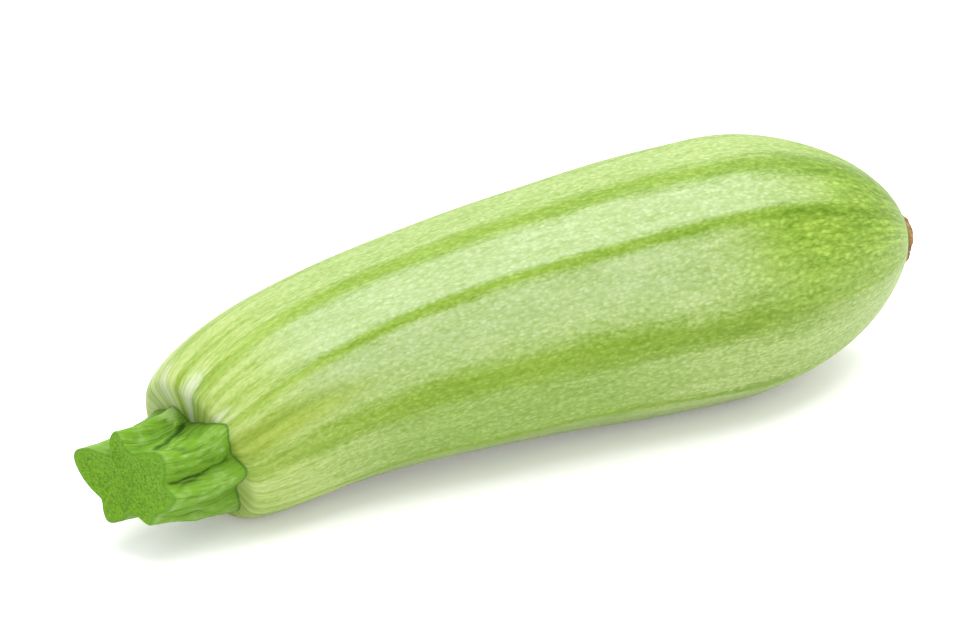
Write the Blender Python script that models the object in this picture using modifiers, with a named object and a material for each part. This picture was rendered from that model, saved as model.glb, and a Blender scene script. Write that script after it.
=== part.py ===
"""A courgette lying on its side: the ribbed fruit, its cut stem and its blossom scar.

Metres, +Z up. The stem end is at -X and the blossom end at +X. The fruit rests on Z = 0, where
its underside is flat, and the origin is under the middle of the bounding box.
"""

import math

import bmesh
import bpy
from mathutils import Euler, Matrix, Vector

MM = 0.001
GAP = 0.3 * MM  # kept between neighbouring pieces

# Fruit: "share" is the distance along its axis, 0 at the stem and 1 at the blossom end.
FRUIT_LENGTH = 0.1473
BELLY_RADIUS = 0.0250
BELLY_SHARE = 0.73
NECK_RADIUS = 0.0189
SEAT_RADIUS = 0.0137  # flat end that the stem sits on
SHOULDER_SHARE = 0.145
SHOULDER_ROUNDNESS = 1.95  # exponents of the superellipses that round the two ends
NOSE_ROUNDNESS = 1.78
NOSE_SHARE = 0.989  # where the flat for the blossom scar cuts the nose

# The fruit's axis: the neck turns sideways and both ends hang lower than the belly.
NECK_TURN = math.radians(17)
NECK_TURN_SHARE = 0.30
NECK_TURN_POWER = 1.5
BODY_TURN = math.radians(-2)
NECK_DROOP = 0.0091
NECK_DROOP_POWER = 3.1
NOSE_DROOP = 0.0023
NOSE_DROOP_POWER = 3.0
AXIS_STEPS = 400
FLAT_DEPTH = 0.0004  # how far the underside is flattened where it rests

# Ribs, as angles round the axis from +Y through the top: at the neck, in the middle and at the nose.
# Flat facets join them.
RIBS = (
    (32, 32, 32),
    (66, 68, 70),
    (106, 100.2, 111),
    (136, 129.5, 132.5),
    (176, 175, 177),
    (214, 214, 214),
    (250, 250, 250),
    (287, 287, 287),
    (322, 322, 322),
    (357, 357, 357),
)
FACET_FLATNESS = 0.5  # 0 is round, 1 is a plain polygon
UNDERSIDE_ANGLE = 270
SHARP_EDGE = math.radians(40)  # edges steeper than this aren't shaded smooth

FRUIT_STATIONS = 40
FRUIT_SEGMENTS = 60

# Stem, in a frame whose +Z leaves the fruit and whose +Y is up.
STEM_LENGTH = 0.0168
STEM_RISE = 0.0041
CUT_PITCH = math.radians(25)
CUT_YAW = math.radians(16)
FLARE_POWER = 1.6
# Outline of the stem: angle and reach in mm at the cut, then where the same edge meets the fruit.
STEM_OUTLINE = (
    ((159, 11.7), (168, 12.3)),
    ((146, 9.9), (154, 11.2)),
    ((133, 7.4), (142, 10.0)),
    ((120, 6.3), (132, 9.4)),
    ((109, 9.5), (121, 9.7)),
    ((102, 10.2), (114, 9.8)),
    ((89, 7.6), (107, 9.0)),
    ((76, 7.0), (99, 8.1)),
    ((58, 9.0), (90, 7.1)),
    ((50, 10.4), (62, 10.2)),
    ((42, 11.1), (46, 15.0)),
    ((28, 10.2), (35, 13.4)),
    ((14, 9.1), (24, 11.6)),
    ((1, 11.2), (10, 14.0)),
    ((347, 10.2), (355, 11.9)),
    ((332, 8.2), (336, 9.9)),
    ((315, 8.4), (303, 13.0)),
    ((302, 5.9), (286, 12.8)),
    ((288, 5.2), (270, 11.6)),
    ((262, 6.9), (252, 12.8)),
    ((246, 8.0), (238, 12.6)),
    ((215, 6.0), (208, 9.8)),
    ((196, 7.3), (197, 10.6)),
    ((180, 9.2), (184, 11.6)),
)
STEM_RINGS = 10
STEM_SEGMENTS = 72

# Blossom scar: a low corky button with a sunken middle.
SCAR_RADIUS = 0.0056
SCAR_HEIGHT = 0.0017
SCAR_DIMPLE_RADIUS = 0.0030
SCAR_DIMPLE_DEPTH = 0.0006
SCAR_EDGE_POINTS = 5
SCAR_SEGMENTS = 32


def smooth(value):
    """Ease from 0 to 1 with level ends."""
    value = min(max(value, 0.0), 1.0)
    return value * value * (3 - 2 * value)


def superellipse(value, roundness):
    """Height of a superellipse of unit size above the point `value` of its base."""
    value = min(max(value, 0.0), 1.0)
    return (1 - value**roundness) ** (1 / roundness)


def fruit_radius(share):
    """Radius over the ribs at a share of the fruit's length."""
    swell = smooth(share / BELLY_SHARE)
    body = NECK_RADIUS + (BELLY_RADIUS - NECK_RADIUS) * swell
    body *= superellipse((share - BELLY_SHARE) / (1 - BELLY_SHARE), NOSE_ROUNDNESS)
    shoulder = superellipse(1 - share / SHOULDER_SHARE, SHOULDER_ROUNDNESS)
    return SEAT_RADIUS + (body - SEAT_RADIUS) * shoulder if share < SHOULDER_SHARE else body


def rib_angles(share):
    """Angles of the ribs at a share of the fruit's length."""
    off_middle = 2 * share - 1
    angles = []
    for neck, middle, nose in RIBS:
        drift = (nose - neck) / 2 * off_middle + ((nose + neck) / 2 - middle) * off_middle**2
        angles.append(middle + drift)
    return angles


def facet(share, angle):
    """Share of the full radius that the facets between ribs leave at an angle in degrees."""
    ribs = rib_angles(share)
    angle = (angle - ribs[0]) % 360 + ribs[0]
    for low, high in zip(ribs, ribs[1:] + [ribs[0] + 360]):
        if low <= angle <= high:
            half = math.radians(high - low) / 2
            middle = math.radians(low + high) / 2
            flat = math.cos(half) / math.cos(math.radians(angle) - middle)
            return 1 + FACET_FLATNESS * (flat - 1)
    return 1.0


def axis_heading(share):
    """Direction of the fruit's axis in plan, from +X towards +Y."""
    neck = max(1 - share / NECK_TURN_SHARE, 0.0)
    return NECK_TURN * neck**NECK_TURN_POWER + BODY_TURN * share


def axis_height(share):
    """Height of the fruit's axis above the resting plane, which the belly's lowest facet meets."""
    neck = max(1 - share / BELLY_SHARE, 0.0)
    nose = max(share - BELLY_SHARE, 0.0) / (1 - BELLY_SHARE)
    droop = NECK_DROOP * neck**NECK_DROOP_POWER + NOSE_DROOP * nose**NOSE_DROOP_POWER
    return BELLY_RADIUS * facet(BELLY_SHARE, UNDERSIDE_ANGLE) - FLAT_DEPTH - droop


def axis_frames(shares):
    """Frames along the fruit's axis: local X is its +Y side, local Y is up and local Z runs along."""
    half_step = 0.5 / AXIS_STEPS
    step_length = FRUIT_LENGTH / AXIS_STEPS
    plan = [Vector((0, 0, 0))]
    for step in range(AXIS_STEPS):
        heading = axis_heading(step / AXIS_STEPS + half_step)
        plan.append(plan[-1] + Vector((math.cos(heading), math.sin(heading), 0)) * step_length)
    frames = []
    for share in shares:
        step = min(int(share * AXIS_STEPS), AXIS_STEPS - 1)
        point = plan[step].lerp(plan[step + 1], share * AXIS_STEPS - step)
        point.z = axis_height(share)
        heading = axis_heading(share)
        slope = (axis_height(share + half_step) - axis_height(share - half_step)) / step_length
        along = Vector((math.cos(heading), math.sin(heading), slope)).normalized()
        side = Vector((-math.sin(heading), math.cos(heading), 0))
        up = along.cross(side)
        frames.append(Matrix.Translation(point) @ Matrix((side, up, along)).transposed().to_4x4())
    return frames


def loft(name, rings, material, collection):
    """Closed body through rings of points, with flat ends."""
    bm = bmesh.new()
    loops = [[bm.verts.new(point) for point in ring] for ring in rings]
    for near, far in zip(loops, loops[1:]):
        for index in range(len(near)):
            after = (index + 1) % len(near)
            bm.faces.new((near[index], near[after], far[after], far[index]))
    bm.faces.new(loops[0][::-1])
    bm.faces.new(loops[-1])
    bmesh.ops.recalc_face_normals(bm, faces=bm.faces)
    return add_object(name, bm, material, collection)


def add_object(name, bm, material, collection):
    """Turn a bmesh into a smooth-shaded object with its material."""
    mesh = bpy.data.meshes.new(name)
    bm.to_mesh(mesh)
    bm.free()
    mesh.materials.append(material)
    mesh.shade_smooth()
    mesh.set_sharp_from_angle(angle=SHARP_EDGE)
    obj = bpy.data.objects.new(name, mesh)
    collection.objects.link(obj)
    return obj


def make_material(name, colour, roughness):
    """Plain non-metallic surface."""
    material = bpy.data.materials.new(name)
    material.use_nodes = True
    shader = material.node_tree.nodes["Principled BSDF"]
    shader.inputs["Base Color"].default_value = (*colour, 1)
    shader.inputs["Roughness"].default_value = roughness
    shader.inputs["Metallic"].default_value = 0
    return material


def flatten_underside(obj):
    """Cut the mesh at the resting plane and close it there with a flat face."""
    bm = bmesh.new()
    bm.from_mesh(obj.data)
    everything = bm.verts[:] + bm.edges[:] + bm.faces[:]
    bmesh.ops.bisect_plane(bm, geom=everything, plane_co=(0, 0, 0), plane_no=(0, 0, 1), clear_inner=True)
    bmesh.ops.holes_fill(bm, edges=[edge for edge in bm.edges if edge.is_boundary])
    bmesh.ops.recalc_face_normals(bm, faces=bm.faces)
    bm.to_mesh(obj.data)
    bm.free()
    obj.data.set_sharp_from_angle(angle=SHARP_EDGE)


def make_fruit(collection):
    """Body that swells from the neck to the belly, ribbed all along and flat underneath."""
    rings = []
    shares = [fruit_station(index) for index in range(FRUIT_STATIONS)]
    for share, frame in zip(shares, axis_frames(shares)):
        ring = []
        for segment in range(FRUIT_SEGMENTS):
            angle = 360 * segment / FRUIT_SEGMENTS
            radius = fruit_radius(share) * facet(share, angle)
            turn = math.radians(angle)
            ring.append(frame @ Vector((radius * math.cos(turn), radius * math.sin(turn), 0)))
        rings.append(ring)
    skin = make_material("skin", (0.45, 0.62, 0.18), 0.45)
    fruit = loft("fruit", rings, skin, collection)
    flatten_underside(fruit)
    return fruit


def fruit_station(index):
    """Share of a station, with the stations closer together towards both round ends."""
    even = index / (FRUIT_STATIONS - 1)
    return NOSE_SHARE * (0.5 - 0.5 * math.cos(math.pi * even))


def stem_outline(along):
    """Bearings in degrees and reaches of the stem's edges, with `along` 0 at the fruit and 1 at the cut."""
    flare = (1 - along) ** FLARE_POWER
    points = []
    for (cut_angle, cut_reach), (foot_angle, foot_reach) in STEM_OUTLINE:
        turn = (foot_angle - cut_angle + 180) % 360 - 180
        bearing = (cut_angle + turn * (1 - along)) % 360
        points.append((bearing, (cut_reach + (foot_reach - cut_reach) * flare) * MM))
    return sorted(points)


def slope_at(points, index):
    """Slope of the closed curve through points at one of them, level at its crests and valleys."""
    before, here, after = (points[(index + step) % len(points)] for step in (-1, 0, 1))
    rise_in = (here[1] - before[1]) / ((here[0] - before[0]) % 360)
    rise_out = (after[1] - here[1]) / ((after[0] - here[0]) % 360)
    if rise_in * rise_out <= 0:
        return 0.0
    return 2 * rise_in * rise_out / (rise_in + rise_out)


def closed_curve(points, angle):
    """Reach at an angle in degrees of the smooth closed curve through points."""
    passed = [index for index, point in enumerate(points) if point[0] <= angle]
    index = passed[-1] if passed else len(points) - 1
    first, second = points[index], points[(index + 1) % len(points)]
    span = (second[0] - first[0]) % 360
    part = ((angle - first[0]) % 360) / span
    rise = first[1] + (second[1] - first[1]) * smooth(part)
    leave = slope_at(points, index) * span * part * (1 - part) ** 2
    arrive = slope_at(points, index + 1) * span * part**2 * (1 - part)
    return rise + leave - arrive


def make_stem(seat, collection):
    """Ridged stem on the fruit's flat end, curving up to its slanting cut."""
    rings = []
    for step in range(STEM_RINGS + 1):
        along = step / STEM_RINGS
        centre = Vector((0, STEM_RISE * along**2, STEM_LENGTH * along))
        tilt = Euler((-CUT_PITCH * along, CUT_YAW * along, 0)).to_matrix()
        outline = stem_outline(along)
        ring = []
        for segment in range(STEM_SEGMENTS):
            angle = 360 * segment / STEM_SEGMENTS
            radius = closed_curve(outline, angle)
            turn = math.radians(angle)
            ring.append(centre + tilt @ Vector((radius * math.cos(turn), radius * math.sin(turn), 0)))
        rings.append(ring)
    stem = loft("stem", rings, make_material("stem", (0.10, 0.29, 0.04), 0.6), collection)
    # The stem leaves the fruit backwards, so its frame is the seat's turned half round its up axis.
    half_turn = Matrix.Rotation(math.pi, 4, "Y")
    stem.matrix_basis = seat @ half_turn @ Matrix.Translation((0, 0, GAP))
    return stem


def make_scar(nose, collection):
    """Turned button on the fruit's blossom end."""
    edge = SCAR_HEIGHT / 2
    profile = []
    for share in (0, 0.5, 1):
        sunk = SCAR_DIMPLE_DEPTH * (1 - smooth(share))
        profile.append(Vector((SCAR_DIMPLE_RADIUS * share, 0, SCAR_HEIGHT - sunk)))
    for point in range(SCAR_EDGE_POINTS):
        turn = math.pi / 2 * (1 - 2 * point / (SCAR_EDGE_POINTS - 1))
        rim = Vector((math.cos(turn), 0, math.sin(turn))) * edge
        profile.append(Vector((SCAR_RADIUS - edge, 0, edge)) + rim)
    profile.append(Vector((0, 0, 0)))
    bm = bmesh.new()
    points = [bm.verts.new(point) for point in profile]
    for first, second in zip(points, points[1:]):
        bm.edges.new((first, second))
    scar = add_object("blossom_scar", bm, make_material("scar", (0.36, 0.20, 0.07), 0.85), collection)
    screw = scar.modifiers.new("turn", "SCREW")
    screw.axis = "Z"
    screw.steps = SCAR_SEGMENTS
    screw.render_steps = SCAR_SEGMENTS
    screw.use_merge_vertices = True
    screw.merge_threshold = 0.00001
    scar.matrix_basis = nose @ Matrix.Translation((0, 0, GAP))
    return scar


def centre_on_origin(root, pieces):
    """Move the parent so that the middle of the pieces' bounding box is over the origin."""
    bpy.context.view_layer.update()
    graph = bpy.context.evaluated_depsgraph_get()
    points = []
    for piece in pieces:
        evaluated = piece.evaluated_get(graph)
        points += [evaluated.matrix_world @ vertex.co for vertex in evaluated.data.vertices]
    for axis in (0, 1):
        values = [point[axis] for point in points]
        root.location[axis] = -(min(values) + max(values)) / 2


def main():
    for obj in list(bpy.data.objects):
        bpy.data.objects.remove(obj)
    collection = bpy.data.collections.new("courgette")
    bpy.context.scene.collection.children.link(collection)
    root = bpy.data.objects.new("courgette_root", None)
    collection.objects.link(root)

    seat, nose = axis_frames((0, NOSE_SHARE))
    pieces = [make_fruit(collection), make_stem(seat, collection), make_scar(nose, collection)]
    for piece in pieces:
        piece.parent = root
    centre_on_origin(root, pieces)


main()
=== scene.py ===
"""A pale green courgette on a white surface: waxy ribbed skin, a cut ridged stem and a corky scar."""

import math

import bpy
import numpy as np
from mathutils import Matrix, Vector, noise


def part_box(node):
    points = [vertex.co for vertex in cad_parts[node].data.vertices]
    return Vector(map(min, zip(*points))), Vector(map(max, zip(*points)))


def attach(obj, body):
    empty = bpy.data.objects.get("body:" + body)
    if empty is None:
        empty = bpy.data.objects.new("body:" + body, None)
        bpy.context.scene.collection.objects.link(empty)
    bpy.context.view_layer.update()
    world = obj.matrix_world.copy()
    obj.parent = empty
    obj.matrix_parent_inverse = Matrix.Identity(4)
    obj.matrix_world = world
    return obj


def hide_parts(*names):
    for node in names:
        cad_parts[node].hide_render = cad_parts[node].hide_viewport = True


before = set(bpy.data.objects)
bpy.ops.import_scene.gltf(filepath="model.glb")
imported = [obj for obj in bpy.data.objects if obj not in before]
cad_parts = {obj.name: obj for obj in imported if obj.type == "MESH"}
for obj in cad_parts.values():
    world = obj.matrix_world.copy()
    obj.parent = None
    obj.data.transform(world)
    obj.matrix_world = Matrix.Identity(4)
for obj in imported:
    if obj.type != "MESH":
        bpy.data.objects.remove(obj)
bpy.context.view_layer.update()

MM = 0.001

# ---------------------------------------------------------------------------- the fruit's form
# "Share" is the distance along the fruit's axis, 0 at the stem and 1 at the blossom end.
FRUIT_LENGTH = 147.3 * MM
BELLY_RADIUS = 25.0 * MM
BELLY_SHARE = 0.73
NECK_RADIUS = 18.9 * MM
SEAT_RADIUS = 13.7 * MM
SHOULDER_SHARE = 0.145
SHOULDER_ROUNDNESS = 1.95
NOSE_ROUNDNESS = 1.78
NOSE_SHARE = 0.989
NECK_TURN = math.radians(17)
NECK_TURN_SHARE = 0.30
NECK_TURN_POWER = 1.5
BODY_TURN = math.radians(-2)
NECK_DROOP = 9.1 * MM
NECK_DROOP_POWER = 3.1
NOSE_DROOP = 2.3 * MM
NOSE_DROOP_POWER = 3.0
AXIS_HEIGHT = 23.95 * MM
AXIS_STEPS = 1200

# Each rib: its angle from +Y through the top, in degrees, at the neck, in the middle and at the nose;
# how far its green stripe spreads before and after it in degrees; how green the stripe is; how many
# degrees its edge is rounded over. Then the facet after it: how pale it is, partly real pale wax and
# partly painted sheen, over how many degrees it darkens again before the next rib, and the share
# where the blossom end's green begins.
RIBS = (
    ((32, 32, 32), (5.5, 5.5), 0.8, 5.0, 0.45, 12, 0.84),
    ((66, 68, 70), (5.0, 5.0), 0.4, 6.0, 0.22, 8, 0.76),
    ((106, 100.2, 111), (7.5, 6.0), 0.95, 4.0, 1.0, 3, 0.76),
    ((136, 129.5, 132.5), (2.6, 4.6), 1.0, 1.6, 0.85, 32, 0.64),
    ((176, 175, 177), (11.0, 8.0), 0.95, 6.0, 0.05, 10, 0.92),
    ((214, 214, 214), (3.0, 3.0), 0.9, 3.0, 0.20, 10, 0.80),
    ((250, 250, 250), (5.5, 5.5), 0.6, 5.0, 0.45, 12, 0.80),
    ((287, 287, 287), (2.5, 5.0), 0.9, 3.0, 0.65, 10, 0.84),
    ((322, 322, 322), (5.5, 5.5), 0.6, 5.0, 0.30, 14, 0.80),
    ((357, 357, 357), (2.5, 4.5), 1.0, 2.5, 0.55, 12, 0.84),
)
RIB_SWING = 0.8  # degrees that a rib wanders to either side
FACET_DEPTH = 0.5  # 0 is round, 1 is a plain polygon
REST_BLEND = 0.15 * MM  # softness of the edge of the flat that the fruit rests on
# Slow swells of the skin: waves along the fruit, waves round it and height in mm.
SWELLS = ((9, 1, 0.22), (14, 2, 0.16), (23, 3, 0.10), (31, 5, 0.06))
FRUIT_ROWS = 290
FRUIT_COLUMNS = 320
SEAT_ROWS = 10
NOSE_ROWS = 8

# ---------------------------------------------------------------------------- the skin's marks
# Soft patches near the stem: share, angle, reach along as a share, reach round in degrees, strength.
# The olive patches are a real olive tone, partly painted shade where the stem's foot meets the shoulder.
OLIVE_AND_SHADE_PATCHES = ((0.0, 154, 0.05, 10, 1.0), (0.09, 155, 0.13, 9, 0.75))
# The pale patches are painted highlights near the stem, with some pale bloom.
BLOOM_AND_HIGHLIGHT_PATCHES = ((0.0, 97, 0.036, 9, 1.0), (0.0, 127, 0.030, 5, 1.0), (0.0, 66, 0.035, 7, 0.8))
# Each tone of the skin, between its darkest streak and its palest fleck.
SKIN_TONES = {
    "plain": ((0.155, 0.250, 0.030), (0.360, 0.445, 0.185)),
    "soft": ((0.165, 0.262, 0.018), (0.365, 0.448, 0.160)),
    # Darker, greener band on the lower front side.
    "darker_lower_band": ((0.105, 0.200, 0.008), (0.262, 0.375, 0.085)),
    "sharp": ((0.088, 0.180, 0.002), (0.290, 0.410, 0.060)),
    # Pale facets: real pale wax with painted sheen.
    "wax_and_sheen": ((0.200, 0.290, 0.085), (0.370, 0.450, 0.250)),
    # Olive near the stem, partly painted shade at the stem's foot.
    "olive_and_shade": ((0.125, 0.205, 0.010), (0.265, 0.345, 0.060)),
    "dark_end": ((0.050, 0.120, 0.001), (0.200, 0.290, 0.022)),
    "leaf": ((0.100, 0.190, 0.003), (0.230, 0.335, 0.042)),
    "moss": ((0.065, 0.145, 0.001), (0.205, 0.310, 0.030)),
    # Painted highlight near the stem, with some pale bloom.
    "bloom_and_highlight": ((0.300, 0.380, 0.150), (0.470, 0.510, 0.380)),
}

# ---------------------------------------------------------------------------- the stem's form
STEM_LENGTH = 16.8 * MM
STEM_RISE = 4.1 * MM
CUT_PITCH = math.radians(25)
CUT_YAW = math.radians(16)
STEM_SINK = 0.4 * MM  # how far the stem's foot is set into the fruit
FOOT_THICKNESS = 0.30 * MM
FOOT_INSET = 0.2 * MM
RIM_SIZE = 0.45 * MM
CUT_DISH = 0.5 * MM
FLARE_POWER = 1.6
# Outline of the stem: angle and reach in mm at the cut, then where the same edge meets the fruit.
STEM_OUTLINE = (
    ((159, 11.7), (168, 12.3)),
    ((146, 9.9), (154, 11.2)),
    ((133, 7.4), (142, 10.0)),
    ((120, 6.3), (132, 9.4)),
    ((109, 9.5), (121, 9.7)),
    ((102, 10.2), (114, 9.8)),
    ((89, 7.6), (107, 9.0)),
    ((76, 7.0), (99, 8.1)),
    ((58, 9.0), (90, 7.1)),
    ((50, 10.4), (62, 10.2)),
    ((42, 11.1), (46, 15.0)),
    ((28, 10.2), (35, 13.4)),
    ((14, 9.1), (24, 11.6)),
    ((1, 11.2), (10, 14.0)),
    ((347, 10.2), (355, 11.9)),
    ((332, 8.2), (336, 9.9)),
    ((315, 8.4), (303, 13.0)),
    ((302, 5.9), (286, 12.8)),
    ((288, 5.2), (270, 11.6)),
    ((262, 6.9), (252, 12.8)),
    ((246, 8.0), (238, 12.6)),
    ((215, 6.0), (208, 9.8)),
    ((196, 7.3), (197, 10.6)),
    ((180, 9.2), (184, 11.6)),
)
# Creases, and raised fibres where the height is above 0, that run down the stem: angle at the cut,
# angle at the foot, bend, where it starts and ends from 0 at the foot to 1 at the cut, height in mm
# and half width in degrees.
STEM_LINES = (
    (14, 23, 1.0, 0.0, 0.98, -0.45, 1.5),
    (6, 30, 1.0, 0.52, 1.0, -0.35, 1.5),
    (357, 6, 1.0, 0.40, 0.92, -0.35, 2.2),
    (347, 352, 1.0, 0.15, 0.85, -0.22, 2.0),
    (336, 340, 1.0, 0.10, 0.90, -0.30, 2.4),
    (325, 316, 1.0, 0.30, 0.96, -0.35, 2.4),
    (309, 298, 1.0, 0.10, 0.90, -0.25, 2.4),
    (56, 95, 1.2, 0.02, 0.95, -0.60, 4.5),
    (62, 104, 1.2, 0.10, 0.95, 0.20, 2.5),
    (51, 84, 1.2, 0.10, 0.97, -0.22, 1.8),
    (47, 72, 1.3, 0.10, 0.97, -0.22, 1.8),
    (43, 60, 1.3, 0.10, 0.97, -0.20, 1.8),
    (39, 46, 1.2, 0.15, 0.90, -0.24, 2.0),
    (33, 37, 1.0, 0.10, 0.93, -0.28, 2.0),
    (24, 31, 1.0, 0.20, 0.90, -0.24, 1.8),
    (86, 92, 1.0, 0.25, 0.90, -0.20, 5.0),
    (112, 124, 1.0, 0.10, 0.95, -0.20, 2.2),
    (128, 140, 1.0, 0.05, 0.95, -0.45, 3.5),
    (150, 158, 1.0, 0.10, 0.90, -0.25, 2.5),
    (172, 178, 1.0, 0.05, 0.90, -0.28, 2.5),
    (190, 190, 1.0, 0.10, 0.95, -0.25, 2.5),
    (208, 204, 1.0, 0.05, 0.95, -0.55, 4.0),
    (232, 226, 1.0, 0.10, 0.90, -0.25, 2.5),
    (256, 250, 1.0, 0.10, 0.90, -0.28, 2.5),
    (282, 268, 1.0, 0.05, 0.95, -0.50, 4.0),
)
# The pale bloom and painted highlight on the top ridge: place from foot to cut, angle, and its reach in
# both.
STEM_BLOOM_AND_HIGHLIGHT = (0.12, 112, 0.16, 13)
STRAND_RADIUS = 13  # of the ring on which the fibres' noise is read, larger for finer fibres
GRAIN_RADIUS = 9
FIBRE_HEIGHT = 0.14 * MM
FOLD_HEIGHT = 0.28 * MM
CUT_ROUGHNESS = 0.10 * MM
STEM_COLUMNS = 400
FOOT_ROWS = 8
FLANK_ROWS = 96
RIM_ROWS = 6
CUT_ROWS = 40

# ---------------------------------------------------------------------------- the scar's form
SCAR_RADIUS = 5.6 * MM
SCAR_SINK = 0.5 * MM  # how far its edge is set into the nose
SCAR_RISE = 2.1 * MM  # from that edge to its rim
SCAR_DIMPLE = 0.8 * MM
SCAR_KNOB = 0.7 * MM
CORK_ROUGHNESS = 0.22 * MM
CRACK_DEPTH = 0.35 * MM
SCAR_COLUMNS = 160
SCAR_ROWS = 48

# ---------------------------------------------------------------------------- camera, light and floor
CAMERA_AZIMUTH = math.radians(-26.5)
CAMERA_ELEVATION = math.radians(29.1)
CAMERA_DISTANCE = 0.897
CAMERA_LENS = 181.8
SENSOR_WIDTH = 36.0
AIM_FROM_SEAT = Vector((61.8, 11.4, 20.7)) * MM
SKY_STRENGTH = 1.28
SOFTBOX_SIZE = 0.9
SOFTBOX_POWER = 9.5
SOFTBOX_PLACE = Vector((0.10, 0.04, 0.84))
FLOOR_GLOW = 0.16
FLOOR_GLOW_COLOUR = (1.0, 0.86, 1.05, 1.0)
FLOOR_HALF = 3.0  # metres from the middle to each side


def smooth(value):
    value = np.clip(value, 0, 1)
    return value * value * (3 - 2 * value)


def superellipse(value, roundness):
    return (1 - np.clip(value, 0, 1) ** roundness) ** (1 / roundness)


def turn_between(angle, other):
    """Signed difference of two angles in degrees, from -180 to 180."""
    return (angle - other + 180) % 360 - 180


# ================================================================================ mesh making
def wrapped_mesh(name, rows):
    """Closed mesh from rows of points that run round it, with a point at the middle of each end."""
    count, columns = rows.shape[:2]
    ends = np.stack([rows[0].mean(0), rows[-1].mean(0)])
    points = np.concatenate([rows.reshape(-1, 3), ends])
    row, column = np.meshgrid(np.arange(count - 1), np.arange(columns), indexing="ij")
    after = (column + 1) % columns
    this_row, next_row = row * columns, (row + 1) * columns
    corners = [this_row + column, this_row + after, next_row + after, next_row + column]
    quads = np.stack(corners, axis=-1).reshape(-1, 4)
    around = np.arange(columns)
    following = (around + 1) % columns
    last = (count - 1) * columns
    first_fan = np.stack([np.full(columns, len(points) - 2), following, around], axis=-1)
    last_fan = np.stack([np.full(columns, len(points) - 1), last + around, last + following], axis=-1)
    mesh = bpy.data.meshes.new(name)
    mesh.from_pydata(points.tolist(), [], quads.tolist() + first_fan.tolist() + last_fan.tolist())
    mesh.validate()
    mesh.shade_smooth()
    unwrap_rows(mesh, count, columns)
    piece = bpy.data.objects.new(name, mesh)
    bpy.context.scene.collection.objects.link(piece)
    return piece


def unwrap_rows(mesh, count, columns):
    """UV map with the way round along U and the rows along V."""
    layer = mesh.uv_layers.new(name="OFBake")
    vertex = np.empty(len(mesh.loops), np.int64)
    mesh.loops.foreach_get("vertex_index", vertex)
    total = np.empty(len(mesh.polygons), np.int64)
    mesh.polygons.foreach_get("loop_total", total)
    face = np.repeat(np.arange(len(total)), total)
    column = (vertex % columns).astype(float)
    on_row = vertex < count * columns
    lowest = np.full(len(total), 1e9)
    np.minimum.at(lowest, face[on_row], column[on_row])
    highest = np.full(len(total), -1.0)
    np.maximum.at(highest, face[on_row], column[on_row])
    crosses = (highest - lowest) > 1
    column[crosses[face] & on_row & (column == 0)] = columns
    middle = np.where(crosses, columns - 0.5, lowest + 0.5)
    column[~on_row] = middle[face[~on_row]]
    row = 1.0 + vertex // columns
    row[vertex == count * columns] = 0
    row[vertex == count * columns + 1] = count + 1
    uv = np.stack([column / columns, row / (count + 1)], axis=-1)
    layer.data.foreach_set("uv", uv.astype(np.float32).ravel())


def give(piece, name, rows):
    """Store a number, or a vector, for every point of the rows. The end points take their row's mean."""
    values = np.asarray(rows, np.float32)
    if values.ndim == 2:
        values = values[..., None]
    ends = np.stack([values[0].mean(0), values[-1].mean(0)])
    values = np.concatenate([values.reshape(-1, values.shape[-1]), ends])
    if values.shape[-1] == 1:
        piece.data.attributes.new(name, "FLOAT", "POINT").data.foreach_set("value", values.ravel())
    else:
        piece.data.attributes.new(name, "FLOAT_VECTOR", "POINT").data.foreach_set("vector", values.ravel())


def noise_at(points, seed, octaves=3):
    """Smooth noise, from -1 to 1, at an array of points."""
    shift = Vector((seed * 17.31, seed * 5.77, seed * 11.13))
    flat = [noise.fractal(Vector(point) + shift, 1.0, 2.0, octaves) for point in points.reshape(-1, 3)]
    return np.array(flat).reshape(points.shape[:-1])


# ================================================================================ fruit
def axis_heading(share):
    neck = np.maximum(1 - share / NECK_TURN_SHARE, 0)
    return NECK_TURN * neck**NECK_TURN_POWER + BODY_TURN * share


def axis_height(share):
    neck = np.maximum(1 - share / BELLY_SHARE, 0)
    nose = np.maximum(share - BELLY_SHARE, 0) / (1 - BELLY_SHARE)
    return AXIS_HEIGHT - NECK_DROOP * neck**NECK_DROOP_POWER - NOSE_DROOP * nose**NOSE_DROOP_POWER


def axis_at(share):
    """Centre, +Y side, up and forward directions of the fruit's axis at an array of shares."""
    share = np.asarray(share, float)
    step = 1 / AXIS_STEPS
    middles = (np.arange(AXIS_STEPS) + 0.5) * step
    heading = axis_heading(middles)
    stations = np.arange(AXIS_STEPS + 1) * step
    x = np.concatenate([[0], np.cumsum(np.cos(heading))]) * FRUIT_LENGTH * step
    y = np.concatenate([[0], np.cumsum(np.sin(heading))]) * FRUIT_LENGTH * step
    centre = [np.interp(share, stations, x), np.interp(share, stations, y), axis_height(share)]
    centre = np.stack(centre, axis=-1)
    heading = axis_heading(share)
    slope = (axis_height(share + step / 2) - axis_height(share - step / 2)) / (FRUIT_LENGTH * step)
    forward = np.stack([np.cos(heading), np.sin(heading), slope], axis=-1)
    forward /= np.linalg.norm(forward, axis=-1, keepdims=True)
    side = np.stack([-np.sin(heading), np.cos(heading), 0 * heading], axis=-1)
    return centre, side, np.cross(forward, side), forward


def outline_radius(share):
    body = NECK_RADIUS + (BELLY_RADIUS - NECK_RADIUS) * smooth(share / BELLY_SHARE)
    body = body * superellipse((share - BELLY_SHARE) / (1 - BELLY_SHARE), NOSE_ROUNDNESS)
    shoulder = superellipse(1 - share / SHOULDER_SHARE, SHOULDER_ROUNDNESS)
    return np.where(share < SHOULDER_SHARE, SEAT_RADIUS + (body - SEAT_RADIUS) * shoulder, body)


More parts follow.
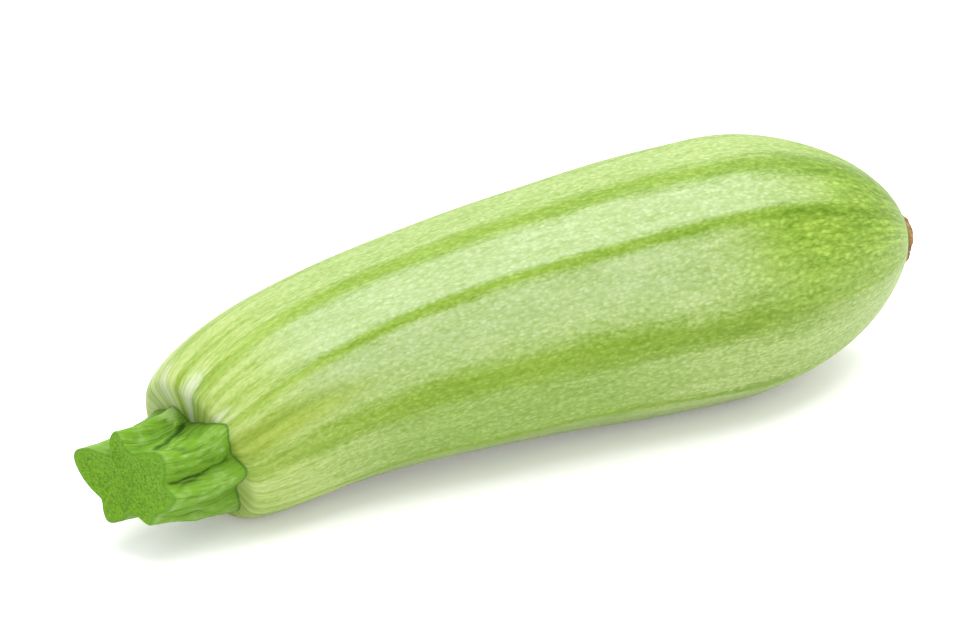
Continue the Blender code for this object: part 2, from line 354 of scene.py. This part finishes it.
def rib_angle(index, share):
    """Angle of a rib, which drifts and wanders a little along the fruit."""
    neck, middle, nose = RIBS[index][0]
    off_middle = 2 * share - 1
    drift = (nose - neck) / 2 * off_middle + ((nose + neck) / 2 - middle) * off_middle**2
    phase = index * 2.4
    wander = np.sin(share * 7.0 + phase) + 0.5 * np.sin(share * 16.0 + phase * 1.7)
    return middle + drift + RIB_SWING * wander


def facet_drop(share, angle):
    """Share of the radius by which the flat facets between the ribs lie under the ribs."""
    drop = np.zeros(np.broadcast(share, angle).shape)
    for index, rib in enumerate(RIBS):
        here, rounding = rib_angle(index, share), rib[3]
        for other in (index - 1, (index + 1) % len(RIBS)):
            half = np.abs(turn_between(rib_angle(other, share), here)) / 2
            ahead = np.sign(turn_between(rib_angle(other, share), here))
            off = turn_between(angle, here) * ahead
            inside = (off >= 0) & (off <= half)
            soft = np.sqrt(off**2 + rounding**2) - rounding
            fall = np.radians(soft) * np.radians(half) - np.radians(soft) ** 2 / 2
            drop = np.where(inside, fall, drop)
    return drop


def gentle_waves(share, angle):
    """Slow unevenness of a grown surface, in metres."""
    turn = np.radians(angle)
    total = 0
    for index, (along, around, size) in enumerate(SWELLS):
        wave = np.sin(along * share + around * turn + index * 1.9)
        total = total + size * wave * np.cos(around * turn - index)
    return total * MM


def fruit_rows():
    """Points of the fruit from the middle of its seat to the middle of its nose."""
    even = np.linspace(0, 1, FRUIT_ROWS)
    eased = 0.55 * even + 0.45 * (0.5 - 0.5 * np.cos(np.pi * even))
    share = np.concatenate([np.zeros(SEAT_ROWS), eased * NOSE_SHARE, np.full(NOSE_ROWS, NOSE_SHARE)])
    scale = np.concatenate([
        (np.arange(SEAT_ROWS) + 0.5) / SEAT_ROWS,
        np.ones(FRUIT_ROWS),
        1 - (np.arange(NOSE_ROWS) + 0.6) / NOSE_ROWS,
    ])
    angle = np.arange(FRUIT_COLUMNS) * 360 / FRUIT_COLUMNS
    share, scale, angle = share[:, None], scale[:, None], angle[None, :]
    fading = smooth((1 - share) / 0.12) * (0.4 + 0.6 * smooth(share / 0.15))
    radius = outline_radius(share) * (1 - FACET_DEPTH * fading * facet_drop(share, angle))
    radius = (radius + gentle_waves(share, angle) * fading) * scale
    centre, side, up, _ = axis_at(share)
    turn = np.radians(angle)[..., None]
    points = centre + radius[..., None] * (np.cos(turn) * side + np.sin(turn) * up)
    return points, share, angle


def flatten_under(points):
    """Soft flat where the fruit rests on the surface."""
    points[..., 2] = 0.5 * (points[..., 2] + np.sqrt(points[..., 2] ** 2 + REST_BLEND**2))
    return points


def patch(share, angle, at_share, at_angle, length, spread):
    """Soft round patch, 1 in the middle."""
    off = ((share - at_share) / length) ** 2 + (turn_between(angle, at_angle) / spread) ** 2
    return np.exp(-off)


def marks(share, angle, spots):
    """Sum of soft patches that each have a strength."""
    return sum(strength * patch(share, angle, *spot) for *spot, strength in spots)


def make_fruit():
    points, share, angle = fruit_rows()
    low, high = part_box("fruit")
    middle = (points.reshape(-1, 3).min(0) + points.reshape(-1, 3).max(0)) / 2
    place = np.array([(low.x + high.x) / 2 - middle[0], (low.y + high.y) / 2 - middle[1], 0])
    fruit = wrapped_mesh("fruit_skin", flatten_under(points) + place)

    shape = points.shape[:2]
    turn = np.radians(np.broadcast_to(angle, shape))
    along = np.broadcast_to(share, shape) * FRUIT_LENGTH / MM
    girth = NECK_RADIUS * 1.15 / MM
    straight = np.stack([along, girth * np.cos(turn), girth * np.sin(turn)], axis=-1)
    give(fruit, "straight", straight)
    nearest = np.full(shape, 1e3)
    green = np.zeros(shape)
    pale_and_sheen = np.zeros(shape)
    blossom = np.zeros(shape)
    for index, (_, (before, after), strength, _, paleness_and_sheen, fade, until) in enumerate(RIBS):
        off = turn_between(angle, rib_angle(index, share))
        gap = np.where(off < 0, -off / before, off / after) / (1 + 0.5 * smooth((share - 0.62) / 0.25))
        closer = gap < nearest
        nearest = np.where(closer, gap, nearest)
        green = np.where(closer, strength, green)
        span = turn_between(rib_angle((index + 1) % len(RIBS), share), rib_angle(index, share))
        inside = (off >= 0) & (off < span)
        rise = smooth(off / 5) * smooth((span - off) / fade) * smooth((share - 0.05) / 0.12)
        ripe = smooth((share - until) / 0.17)
        # Pale facets: real pale wax with painted sheen.
        pale_and_sheen = np.where(inside, paleness_and_sheen * rise * (1 - smooth((share - until + 0.05) / 0.15)), pale_and_sheen)
        blossom = np.where(inside, ripe, blossom)
    give(fruit, "rib_gap", nearest)
    lower_end = smooth((angle - 145) / 20) * smooth((share - 0.70) / 0.15)
    give(fruit, "rib_green", green * (1 - 0.7 * lower_end))
    give(fruit, "pale_and_sheen", pale_and_sheen)
    upper_side = smooth((angle - 20) / 50) * smooth((172 - angle) / 34)
    give(fruit, "blossom", blossom * (0.55 + 0.45 * upper_side))
    top_side = smooth((angle - 40) / 40) * smooth((142 - angle) / 18)
    give(fruit, "dark_end", smooth((share - 0.83) / 0.13) * top_side)
    # A darker, greener band along the lower front side, from the neck to the middle.
    lower_side = smooth((angle - 154) / 20) * smooth((232 - angle) / 14)
    give(fruit, "darker_lower_band", lower_side * smooth((share - 0.12) / 0.16) * smooth((0.66 - share) / 0.16))
    # Olive patches near the stem, partly painted shade at the stem's foot.
    give(fruit, "olive_and_shade", marks(share, angle, OLIVE_AND_SHADE_PATCHES))
    give(fruit, "deep", np.broadcast_to(smooth((share - 0.35) / 0.55), shape))
    # Painted highlights near the stem, with some pale bloom.
    give(fruit, "bloom_and_highlight", marks(share, angle, BLOOM_AND_HIGHLIGHT_PATCHES))
    fruit.data.materials.append(skin_finish())
    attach(fruit, "root")
    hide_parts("fruit")
    return place


# ================================================================================ stem
def stem_radius(angle, along):
    """Reach of the stem at an angle, with `along` 0 at the foot and 1 at the cut."""
    flare = (1 - along) ** FLARE_POWER
    bearings = [cut[0] + turn_between(foot[0], cut[0]) * (1 - along) for cut, foot in STEM_OUTLINE]
    reaches = [(cut[1] + (foot[1] - cut[1]) * flare) * MM for cut, foot in STEM_OUTLINE]
    order = np.argsort(np.array(bearings) % 360)
    bearings = np.array(bearings)[order] % 360
    reaches = np.array(reaches)[order]
    return round_curve(angle, bearings, reaches)


def round_curve(angle, bearings, reaches):
    """Closed smooth curve through points, which is level at every crest and valley."""
    spans = np.diff(np.append(bearings, bearings[0] + 360))
    rises = np.diff(np.append(reaches, reaches[0])) / spans
    before = np.roll(rises, 1)
    same_way = before * rises > 0
    slopes = np.where(same_way, 2 * before * rises / np.where(same_way, before + rises, 1), 0)
    index = (np.searchsorted(bearings, angle % 360, side="right") - 1) % len(bearings)
    after = (index + 1) % len(bearings)
    span = spans[index]
    share = ((angle - bearings[index]) % 360) / span
    start = reaches[index] * (1 + 2 * share) + slopes[index] * span * share
    end = reaches[after] * (3 - 2 * share) - slopes[after] * span * (1 - share)
    return start * (1 - share) ** 2 + end * share**2


def stem_relief(angle, along):
    """Height of the creases and raised fibres, in metres."""
    total = np.zeros(np.broadcast(angle, along).shape)
    for at_cut, at_foot, bend, start, end, height, half_width in STEM_LINES:
        path = at_cut + turn_between(at_foot, at_cut) * (1 - along) ** bend
        off = turn_between(angle, path + 0.8 * np.sin(along * 19 + at_cut)) / half_width
        fade = smooth((along - start) / 0.12 + 0.3) * smooth((end - along) / 0.12 + 0.3)
        total = total + height * MM * np.exp(-(off**2)) * fade
    return total


def shoulder_fall(radius):
    """How far the fruit's shoulder falls away behind the plane of its seat at a radius."""
    rise = np.clip((radius - SEAT_RADIUS) / (NECK_RADIUS - SEAT_RADIUS), 0, 0.98)
    back = 1 - (1 - rise**SHOULDER_ROUNDNESS) ** (1 / SHOULDER_ROUNDNESS)
    return back * SHOULDER_SHARE * FRUIT_LENGTH


def stem_place(radius, angle, along, lift):
    """Points of the stem in its own frame, with +Z leaving the fruit and +Y up."""
    turn = np.radians(angle)
    flat = np.stack(np.broadcast_arrays(radius * np.cos(turn), radius * np.sin(turn), lift), axis=-1)
    pitch, yaw = -CUT_PITCH * along, CUT_YAW * along
    x, y, z = flat[..., 0], flat[..., 1], flat[..., 2]
    y, z = y * np.cos(pitch) - z * np.sin(pitch), y * np.sin(pitch) + z * np.cos(pitch)
    x, z = x * np.cos(yaw) + z * np.sin(yaw), -x * np.sin(yaw) + z * np.cos(yaw)
    return np.stack([x, y + STEM_RISE * along**2, z + STEM_LENGTH * along], axis=-1)


def make_stem(place):
    angle = np.arange(STEM_COLUMNS) * 360 / STEM_COLUMNS
    turn = np.radians(angle)

    # Foot: a thin rounded edge that stands on the shoulder and turns in to the flank.
    foot = (np.arange(FOOT_ROWS) / FOOT_ROWS)[:, None]
    foot_radius = stem_radius(angle, 0.0)[None]
    foot_inset = FOOT_INSET * (1 - np.cos(foot * np.pi / 2))
    foot_lift = -STEM_SINK + (FOOT_THICKNESS + STEM_SINK) * np.sin(foot * np.pi / 2)
    foot_lift = foot_lift - shoulder_fall(foot_radius)
    foot_part = stem_place(foot_radius - foot_inset, angle, foot * 0, foot_lift)

    # Flank: ridges that narrow from the flared foot to the cut, with creases and fibres.
    flank = (np.arange(FLANK_ROWS) / (FLANK_ROWS - 1))[:, None] ** 1.3
    smooth_radius = np.stack([stem_radius(angle, along) for along in flank[:, 0]])
    shape = smooth_radius.shape
    around = np.broadcast_to(turn, shape)
    strand = np.stack([
        STRAND_RADIUS * np.cos(around),
        STRAND_RADIUS * np.sin(around),
        np.broadcast_to(flank * 2.0, shape),
    ], axis=-1)
    fibre = noise_at(strand, 1)
    fold = noise_at(strand * np.array([0.25, 0.25, 1.6]), 2)
    away_from_ends = np.sin(np.pi * np.clip(flank, 0.03, 0.985)) ** 0.5
    relief = stem_relief(angle, flank) + (FIBRE_HEIGHT * fibre + FOLD_HEIGHT * fold) * away_from_ends
    flank_part = stem_place(
        smooth_radius - FOOT_INSET * (1 - flank) ** 6 + relief,
        angle,
        flank,
        (FOOT_THICKNESS - shoulder_fall(foot_radius)) * (1 - flank) ** 3,
    )

    # Rim and cut: a small rounded edge, then the flat face.
    cut_radius = (smooth_radius + relief)[-1:]
    rim = ((np.arange(RIM_ROWS) + 1) / RIM_ROWS)[:, None]
    rim_radius = cut_radius - RIM_SIZE * (1 - np.cos(rim * np.pi / 2))
    rim_part = stem_place(rim_radius, angle, rim * 0 + 1, RIM_SIZE * np.sin(rim * np.pi / 2))
    inward = ((np.arange(CUT_ROWS) + 1) / (CUT_ROWS + 1))[:, None]
    face_radius = (cut_radius - RIM_SIZE) * (1 - inward)
    around = np.broadcast_to(turn, face_radius.shape)
    flat = np.stack([np.cos(around), np.sin(around), 0 * around], axis=-1) * face_radius[..., None] / MM
    uneven = CUT_ROUGHNESS * noise_at(flat * 0.9, 3) * smooth(inward / 0.15)
    face_lift = RIM_SIZE + uneven - CUT_DISH * smooth(inward / 0.5)
    cut_part = stem_place(face_radius, angle, inward * 0 + 1, face_lift)

    rows = np.concatenate([foot_part, flank_part, rim_part, cut_part])
    seat = seat_frame(place)
    stem = wrapped_mesh("stem_cut", rows @ np.array(seat.to_3x3()).T + np.array(seat.translation))

    along = every_row(0 * foot, flank, 0 * rim + 1, 0 * inward + 1)
    low, high = smooth_radius.min(1, keepdims=True), smooth_radius.max(1, keepdims=True)
    crest = (smooth_radius - low) / (high - low)
    at_cut = crest[-1:]
    give(stem, "along", along)
    give(stem, "crest", every_row(crest[:1] + 0 * foot, crest, at_cut + 0 * rim, at_cut + 0 * inward))
    give(stem, "face", every_row(0 * foot, 0 * flank, rim / 2, 0 * inward + 1))
    give(stem, "inward", every_row(0 * foot, 0 * flank, 0 * rim, inward))
    give(stem, "relief", every_row(0 * foot, relief / MM, 0 * rim, 0 * inward))
    around = np.broadcast_to(turn, along.shape)
    grain = [GRAIN_RADIUS * np.cos(around), GRAIN_RADIUS * np.sin(around), along * STEM_LENGTH / MM]
    give(stem, "grain", np.stack(grain, axis=-1))
    give(stem, "flat", rows / MM)
    give(stem, "bloom_and_highlight", patch(along, angle, *STEM_BLOOM_AND_HIGHLIGHT))
    stem.data.materials.append(stem_finish())
    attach(stem, "root")
    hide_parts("stem")


def every_row(*sections):
    """Values of the foot, flank, rim and cut together, for every point of the stem's rows."""
    wide = [np.broadcast_to(section, (len(section), STEM_COLUMNS)) for section in sections]
    return np.concatenate(wide)


def seat_frame(place):
    """Frame of the stem's foot: +Z leaves the fruit, +Y is up."""
    centre, side, up, forward = (Vector(row[0]) for row in axis_at([0.0]))
    turned = Matrix((-side, up, -forward)).transposed().to_4x4()
    return Matrix.Translation(centre + Vector(place)) @ turned


# ================================================================================ scar
def make_scar(place):
    centre, side, up, forward = (Vector(row[0]) for row in axis_at([NOSE_SHARE]))
    nose = Matrix.Translation(centre + Vector(place)) @ Matrix((side, up, forward)).transposed().to_4x4()
    angle = np.radians(np.arange(SCAR_COLUMNS) * 360 / SCAR_COLUMNS)[None, :]
    inward = (np.arange(SCAR_ROWS) / SCAR_ROWS)[:, None]
    rim = np.clip(inward / 0.25, 0, 1)
    core = np.clip((inward - 0.25) / 0.75, 0, 1)
    wobble = 1 + 0.035 * np.sin(3 * angle + 0.6) + 0.025 * np.sin(5 * angle + 2)
    wobble = wobble + 0.015 * np.sin(11 * angle)
    radius = SCAR_RADIUS * wobble * (1 - 0.16 * (1 - np.cos(rim * np.pi / 2)) - 0.84 * core)
    lift = -SCAR_SINK + SCAR_RISE * np.sin(rim * np.pi / 2)
    lift = lift - SCAR_DIMPLE * smooth(core / 0.35) + SCAR_KNOB * smooth((core - 0.72) / 0.2)
    x, y = radius * np.cos(angle), radius * np.sin(angle)
    flat = np.stack([x, y, 0 * radius], axis=-1) / MM
    rough = noise_at(flat * 0.9, 5, 4)
    crack = np.abs(noise_at(flat * 0.5, 6, 3))
    split = np.exp(-((crack / 0.06) ** 2))
    lift = lift + (CORK_ROUGHNESS * rough - CRACK_DEPTH * split) * smooth(rim)
    rows = np.stack([x, y, lift], axis=-1)
    world = rows @ np.array(nose.to_3x3()).T + np.array(nose.translation)
    scar = wrapped_mesh("blossom_cork", world)
    give(scar, "flat", rows / MM)
    give(scar, "inward", np.broadcast_to(inward, rows.shape[:2]))
    give(scar, "crack", np.exp(-((crack / 0.08) ** 2)))
    scar.data.materials.append(cork_finish())
    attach(scar, "root")
    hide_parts("blossom_scar")


# ================================================================================ materials
class Wire:
    """A shader value. Arithmetic on it adds Math nodes."""

    def __init__(self, finish, socket):
        self.finish = finish
        self.socket = socket

    def math(self, operation, first, second=0.0):
        return self.finish.node("ShaderNodeMath", {"operation": operation}, {0: first, 1: second})

    def __add__(self, other):
        return self.math("ADD", self, other)

    __radd__ = __add__

    def __sub__(self, other):
        return self.math("SUBTRACT", self, other)

    def __rsub__(self, other):
        return self.math("SUBTRACT", other, self)

    def __mul__(self, other):
        return self.math("MULTIPLY", self, other)

    __rmul__ = __mul__

    def limited(self):
        return self.finish.node("ShaderNodeClamp", {}, {0: self})

    def eased(self, low, high):
        """0 below low, 1 above high and smooth between them."""
        settings = {"interpolation_type": "SMOOTHSTEP"}
        return self.finish.node("ShaderNodeMapRange", settings, {0: self, 1: low, 2: high})


class Finish:
    """One material and the nodes that make it."""

    def __init__(self, name, **constants):
        self.material = bpy.data.materials.new(name)
        self.material.use_nodes = True
        self.tree = self.material.node_tree
        self.shader = self.tree.nodes["Principled BSDF"]
        for socket, value in constants.items():
            self.shader.inputs[socket.replace("_", " ")].default_value = value

    def node(self, kind, settings, inputs, output=0):
        """Add a node, set it up, then fill its sockets with values or links."""
        node = self.tree.nodes.new(kind)
        for key, value in settings.items():
            setattr(node, key, value)
        for key, value in inputs.items():
            self.fill(node.inputs[key], value)
        return Wire(self, node.outputs[output])

    def fill(self, socket, value):
        if isinstance(value, Wire):
            self.tree.links.new(value.socket, socket)
        elif socket.type == "RGBA":
            socket.default_value = (*value, 1)
        else:
            socket.default_value = value

    def attribute(self, name, output="Fac"):
        return self.node("ShaderNodeAttribute", {"attribute_name": name}, {}, output)

    def stretched(self, vector, scale):
        return self.node("ShaderNodeVectorMath", {"operation": "MULTIPLY"}, {0: vector, 1: scale})

    def clouds(self, vector, scale, detail=2.0, roughness=0.5):
        inputs = {"Vector": vector, "Scale": scale, "Detail": detail, "Roughness": roughness}
        return self.node("ShaderNodeTexNoise", {}, inputs, "Fac")

    def cells(self, vector, scale, output="Distance"):
        return self.node("ShaderNodeTexVoronoi", {}, {"Vector": vector, "Scale": scale}, output)

    def nudged(self, vector, scale, reach):
        """Positions moved a little by slow noise, so that patterns on them look grown."""
        noise_inputs = {"Vector": vector, "Scale": scale, "Detail": 1.0}
        drift = self.node("ShaderNodeTexNoise", {}, noise_inputs, "Color")
        settings = {"operation": "MULTIPLY_ADD"}
        return self.node("ShaderNodeVectorMath", settings, {0: drift, 1: reach, 2: vector})

    def flecks(self, vector):
        """Soft spots, some bright and some faint."""
        shade = self.parts(self.cells(vector, 1.0, "Color"))[0]
        return (1 - self.cells(vector, 1.0).eased(0.10, 0.78)) * (0.35 + shade * 0.65)

    def mix(self, mask, under, over):
        settings = {"data_type": "RGBA"}
        return self.node("ShaderNodeMix", settings, {0: mask, 6: under, 7: over}, 2)

    def parts(self, vector):
        return [self.node("ShaderNodeSeparateXYZ", {}, {0: vector}, index) for index in range(3)]

    def bumped(self, height, strength, distance):
        inputs = {"Height": height, "Strength": strength, "Distance": distance}
        return self.node("ShaderNodeBump", {}, inputs, "Normal")

    def finished(self, **sockets):
        for socket, value in sockets.items():
            self.fill(self.shader.inputs[socket.replace("_", " ")], value)
        return self.material


def skin_finish():
    """Waxy skin: rows of pale flecks and fine streaks, greener along the ribs and at the blossom end; the
    pale facets carry painted sheen, with painted highlights and painted shade near the stem.
    """
    skin = Finish(
        "courgette_skin",
        Subsurface_Weight=0.08,
        Subsurface_Scale=0.003,
        Specular_IOR_Level=0.16,
    )
    straight = skin.attribute("straight", "Vector")
    along = skin.parts(straight)[0]
    neck = 1 - along.eased(2.0, 36.0)
    bent = skin.nudged(straight, 0.55, (1.0, 0.7, 0.7))

    streaks = skin.clouds(skin.stretched(bent, (0.08, 0.95, 0.95)), 1.0, 3.0, 0.55)
    fine = skin.clouds(skin.stretched(bent, (0.75, 2.8, 2.8)), 1.0, 2.0)
    bands = skin.clouds(skin.stretched(straight, (0.02, 0.24, 0.24)), 1.0, 2.0)
    patches = skin.clouds(skin.stretched(straight, (0.09, 0.20, 0.20)), 1.0, 3.0)
    blossom = (skin.attribute("blossom") + (patches - 0.5) * 0.5 + (streaks - 0.5) * 0.5).eased(0.0, 1.0)

    small = skin.flecks(skin.stretched(bent, (0.95, 1.60, 1.60)))
    large = skin.flecks(skin.stretched(bent, (0.62, 1.35, 1.35)))
    fleck = small * (0.50 - blossom * 0.30) * (1 - neck * 0.5)
    fleck = fleck + large * (0.12 + blossom * 0.55) * (1 - neck * 0.8)
    line = (streaks - 0.5) * (0.60 + neck * 1.0 + blossom * 0.5) + (fine - 0.5) * (0.95 - blossom * 0.1)
    light = fleck + line + (patches - 0.5) * 0.4 + (bands - 0.5) * neck * 1.3
    light = (light + (0.30 + neck * 0.2 - blossom * 0.10)).limited()
    tone = {name: skin.mix(light, dark, bright) for name, (dark, bright) in SKIN_TONES.items()}

    darker_lower_band = (skin.attribute("darker_lower_band") * (0.75 + (patches - 0.5) * 0.9)).limited()
    pale_and_sheen = (skin.attribute("pale_and_sheen") * (0.9 + (patches - 0.5) * 0.6)).limited()
    olive_and_shade = (skin.attribute("olive_and_shade") + (streaks - 0.5) * 0.6).eased(0.1, 0.9)
    colour = skin.mix(neck, tone["plain"], tone["soft"])
    # Darker, greener band on the lower front side.
    colour = skin.mix(darker_lower_band, colour, tone["darker_lower_band"])
    colour = skin.mix(blossom, colour, tone["sharp"])
    # Pale facets: real pale wax with painted sheen.
    colour = skin.mix(pale_and_sheen, colour, tone["wax_and_sheen"])
    # Olive near the stem, partly painted shade at the stem's foot.
    colour = skin.mix(olive_and_shade, colour, tone["olive_and_shade"])
    colour = skin.mix(skin.attribute("dark_end") * 0.6, colour, tone["dark_end"])

    gap = skin.attribute("rib_gap") + (streaks - 0.5) * 1.1 + (fine - 0.5) * 0.5
    stripe = (1 - gap.eased(0.20, 1.40)) * skin.attribute("rib_green") * (1 - neck * 0.2)
    colour = skin.mix(stripe * 0.95, colour, skin.mix(skin.attribute("deep"), tone["leaf"], tone["moss"]))
    # Painted highlights near the stem, with some pale bloom.
    bloom_and_highlight = (skin.attribute("bloom_and_highlight") + (streaks - 0.5) * 1.2).eased(0.35, 0.95)
    colour = skin.mix(bloom_and_highlight * 0.9, colour, tone["bloom_and_highlight"])

    height = fleck * 0.5 + skin.clouds(straight, 1.9, 3.0) * 0.3 + fine * 0.4 + streaks * 0.3
    return skin.finished(
        Base_Color=colour,
        Roughness=0.40 + patches * 0.12,
        Normal=skin.bumped(height, 0.22, 0.0002),
    )


def stem_finish():
    """Fibrous stem with painted light and shade: pale wax and painted highlights on its crests, painted
    shade in its valleys and creases, and a speckled cut face.
    """
    stem = Finish("stem_green", Subsurface_Weight=0.06, Subsurface_Scale=0.002, Specular_IOR_Level=0.18)
    grain = stem.attribute("grain", "Vector")
    flat = stem.attribute("flat", "Vector")
    crest = stem.attribute("crest")
    along = stem.attribute("along")
    face = stem.attribute("face")
    relief = stem.attribute("relief")

    fibres = stem.clouds(stem.stretched(grain, (2.4, 2.4, 0.13)), 1.0, 4.0, 0.6)
    fine = stem.clouds(stem.stretched(grain, (5.5, 5.5, 0.30)), 1.0, 3.0, 0.6)
    wax_and_sheen = stem.clouds(stem.stretched(grain, (0.5, 0.5, 0.35)), 1.0, 2.0)
    # The top ridge's pale bloom and painted highlight.
    wax_and_sheen = wax_and_sheen + stem.attribute("bloom_and_highlight") * 0.8
    under = 1 - stem.parts(grain)[1].eased(-GRAIN_RADIUS, -2.0)
    # Painted light and shade mixed with the fibres: crests and raised fibres lighter, valleys and creases
    # darker.
    lightness = crest * 0.30 + (fibres - 0.5) * 0.7 + (fine - 0.5) * 1.0
    lightness = lightness + relief * 0.5 + under * 0.2 + 0.30
    side = stem.mix(lightness.eased(-0.15, 0.55), (0.034, 0.105, 0.004), (0.116, 0.250, 0.010))
    # Pale wax with painted highlights on the lit crests.
    side = stem.mix((lightness + (wax_and_sheen - 0.5) * 1.2).eased(0.45, 1.1) * 0.85, side, (0.25, 0.375, 0.110))
    # Painted shade in the creases.
    side = stem.mix((0 - relief).eased(0.20, 0.60) * 0.6, side, (0.014, 0.050, 0.004))
    side = stem.mix((1 - along.eased(0.0, 0.02)) * 0.6, side, (0.04, 0.12, 0.006))

    specks = 1 - stem.cells(flat, 2.7).eased(0.10, 0.45)
    mottled = stem.clouds(flat, 1.9, 4.0, 0.65)
    cut = stem.mix(mottled.eased(0.32, 0.68), (0.050, 0.155, 0.001), (0.130, 0.275, 0.006))
    cut = stem.mix(specks * 0.40, cut, (0.25, 0.40, 0.05))
    ring = 1 - stem.attribute("inward").eased(0.02, 0.14)
    cut = stem.mix(ring * 0.7, cut, (0.10, 0.25, 0.003))
    colour = stem.mix(face.eased(0.3, 0.8), side, cut)
    rim = face.eased(0.02, 0.2) * (1 - face.eased(0.6, 1.0))
    colour = stem.mix(rim * 0.4, colour, (0.04, 0.125, 0.007))

    height = fibres * 0.7 + fine * 0.4
    return stem.finished(
        Base_Color=colour,
        Roughness=0.5 + fibres * 0.15,
        Normal=stem.bumped(height, 0.5, 0.0004),
    )


def cork_finish():
    """Dry brown cork, darker in its cracks and olive where it meets the skin."""
    cork = Finish("scar_cork", Specular_IOR_Level=0.3)
    flat = cork.attribute("flat", "Vector")
    inward = cork.attribute("inward")
    grain = cork.clouds(flat, 1.1, 5.0, 0.65)
    colour = cork.mix(grain.eased(0.3, 0.7), (0.15, 0.070, 0.020), (0.34, 0.20, 0.075))
    colour = cork.mix(cork.attribute("crack") * 0.7, colour, (0.05, 0.024, 0.008))
    colour = cork.mix((1 - inward.eased(0.02, 0.12)) * 0.7, colour, (0.16, 0.17, 0.03))
    return cork.finished(
        Base_Color=colour,
        Roughness=0.75 + grain * 0.2,
        Normal=cork.bumped(grain, 0.6, 0.0004),
    )


def floor_finish():
    """Matt white board with a faint tooth."""
    glow = {"Emission_Color": FLOOR_GLOW_COLOUR, "Emission_Strength": FLOOR_GLOW}
    board = Finish("white_board", Roughness=0.9, **glow)
    place = board.node("ShaderNodeTexCoord", {}, {}, "Object")
    tooth = board.clouds(place, 900.0, 2.0)
    white = board.mix(tooth, (0.90, 0.90, 0.90), (0.92, 0.92, 0.92))
    return board.finished(Base_Color=white)


# ================================================================================ stage
def make_floor():
    corners = [(x * FLOOR_HALF, y * FLOOR_HALF, 0) for x, y in ((-1, -1), (1, -1), (1, 1), (-1, 1))]
    mesh = bpy.data.meshes.new("floor")
    mesh.from_pydata(corners, [], [(0, 1, 2, 3)])
    floor = bpy.data.objects.new("floor", mesh)
    floor.data.materials.append(floor_finish())
    bpy.context.scene.collection.objects.link(floor)


def make_lights():
    world = bpy.data.worlds.new("studio")
    bpy.context.scene.world = world
    world.use_nodes = True
    background = world.node_tree.nodes["Background"]
    background.inputs["Color"].default_value = (1, 1, 1, 1)
    background.inputs["Strength"].default_value = SKY_STRENGTH
    lamp = bpy.data.lights.new("softbox", "AREA")
    lamp.shape = "SQUARE"
    lamp.size = SOFTBOX_SIZE
    lamp.energy = SOFTBOX_POWER
    softbox = bpy.data.objects.new("softbox", lamp)
    softbox.location = SOFTBOX_PLACE
    softbox.rotation_mode = "QUATERNION"
    softbox.rotation_quaternion = SOFTBOX_PLACE.to_track_quat("Z", "Y")
    bpy.context.scene.collection.objects.link(softbox)


def make_camera(place):
    aim = Vector(place) + AIM_FROM_SEAT
    flat = math.cos(CAMERA_ELEVATION)
    back = Vector((math.sin(CAMERA_AZIMUTH) * flat, -math.cos(CAMERA_AZIMUTH) * flat, 0))
    back.z = math.sin(CAMERA_ELEVATION)
    lens = bpy.data.cameras.new("camera")
    lens.lens = CAMERA_LENS
    lens.sensor_width = SENSOR_WIDTH
    lens.clip_end = 20
    camera = bpy.data.objects.new("camera", lens)
    camera.location = aim + back * CAMERA_DISTANCE
    camera.rotation_mode = "QUATERNION"
    camera.rotation_quaternion = (-back).to_track_quat("-Z", "Y")
    bpy.context.scene.collection.objects.link(camera)
    bpy.context.scene.camera = camera


def main():
    bpy.context.scene.view_settings.view_transform = "Standard"
    place = make_fruit()
    make_stem(place)
    make_scar(place)
    make_floor()
    make_lights()
    make_camera(place)


main()
